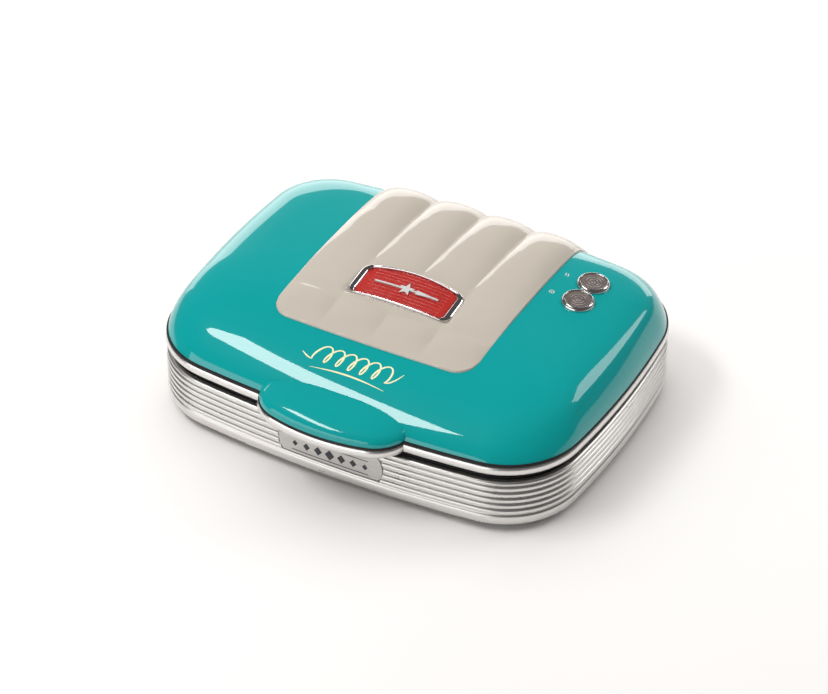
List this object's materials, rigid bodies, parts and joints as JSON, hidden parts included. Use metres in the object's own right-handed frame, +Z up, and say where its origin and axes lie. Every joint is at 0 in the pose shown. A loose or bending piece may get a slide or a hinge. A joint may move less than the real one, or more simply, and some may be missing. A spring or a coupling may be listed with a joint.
{
  "type": "waffle maker",
  "caption": "Compact clamshell waffle maker with a ribbed base, a domed hinged lid with a lip handle, fluted top panel and two pilot lights.",
  "frame": {"origin": "middle of the footprint, on the surface that the feet stand on", "axes": "+Z up, front with the lip handle towards -Y, hinge towards +Y, +X to the right seen from the front"},
  "size_m": [0.2502, 0.2173, 0.0752],
  "materials": {
    "silver_paint": "metallic silver paint, satin",
    "brushed_silver": "brushed, satin",
    "trim_silver": "metallic silver paint, satin",
    "teal_gloss": "high gloss",
    "cream_gloss": "soft gloss",
    "chrome": "polished",
    "red_lens": "translucent red, grooved",
    "emblem_silver": "polished",
    "lens_brown": "smoked, ringed",
    "black_plastic": "fine matte",
    "plate_coating": "dark non-stick coating, satin",
    "heater_steel": "dull",
    "sheet_steel": "plain sheet",
    "screw_steel": "zinc plated",
    "rubber": "matte",
    "ceramic_white": "unglazed",
    "wire_white": "glass-braid sleeve",
    "board_tan": "laminate board",
    "lamp_glass": "clear"
  },
  "bodies": {
    "base": {"base_housing": "silver_paint", "hinge_brackets": "silver_paint", "screw_bosses": "black_plastic", "name_plate": "brushed_silver", "cord_gland": "rubber", "bottom_cover": "black_plastic", "rubber_feet": "rubber", "bottom_screws": "screw_steel", "lower_surround": "black_plastic", "surround_screws": "screw_steel", "lower_plate": "plate_coating", "lower_plate_screws": "screw_steel", "lower_heater": "heater_steel", "lower_heater_clamps": "sheet_steel", "lower_reflector": "sheet_steel", "reflector_screws": "screw_steel", "thermostat": "ceramic_white", "terminal_block": "ceramic_white", "base_wiring": "wire_white", "right_hinge_pin": "screw_steel", "left_hinge_pin": "screw_steel"},
    "lid": {"lid_cover": "teal_gloss", "trim_band": "trim_silver", "handle_underside": "black_plastic", "handle_screws": "screw_steel", "upper_surround": "black_plastic", "lid_screws": "screw_steel", "upper_plate": "plate_coating", "upper_plate_screws": "screw_steel", "upper_heater": "heater_steel", "upper_heater_clamps": "sheet_steel", "upper_reflector": "sheet_steel", "thermal_fuse": "sheet_steel", "lamp_board": "board_tan", "lid_wiring": "wire_white", "top_panel": "cream_gloss", "badge_bezel": "chrome", "badge_lens": "red_lens", "badge_emblem": "emblem_silver", "power_light_bezel": "brushed_silver", "power_light_lens": "lens_brown", "power_lamp": "lamp_glass", "ready_light_bezel": "brushed_silver", "ready_light_lens": "lens_brown", "ready_lamp": "lamp_glass"}
  },
  "joints": [
    {"name": "lid_hinge", "type": "hinge", "parent": "base", "child": "lid", "pos_m": [0, 0.1049, 0.0359], "axis": [-1, 0, 0], "range_deg": [0, 105]}
  ]
}
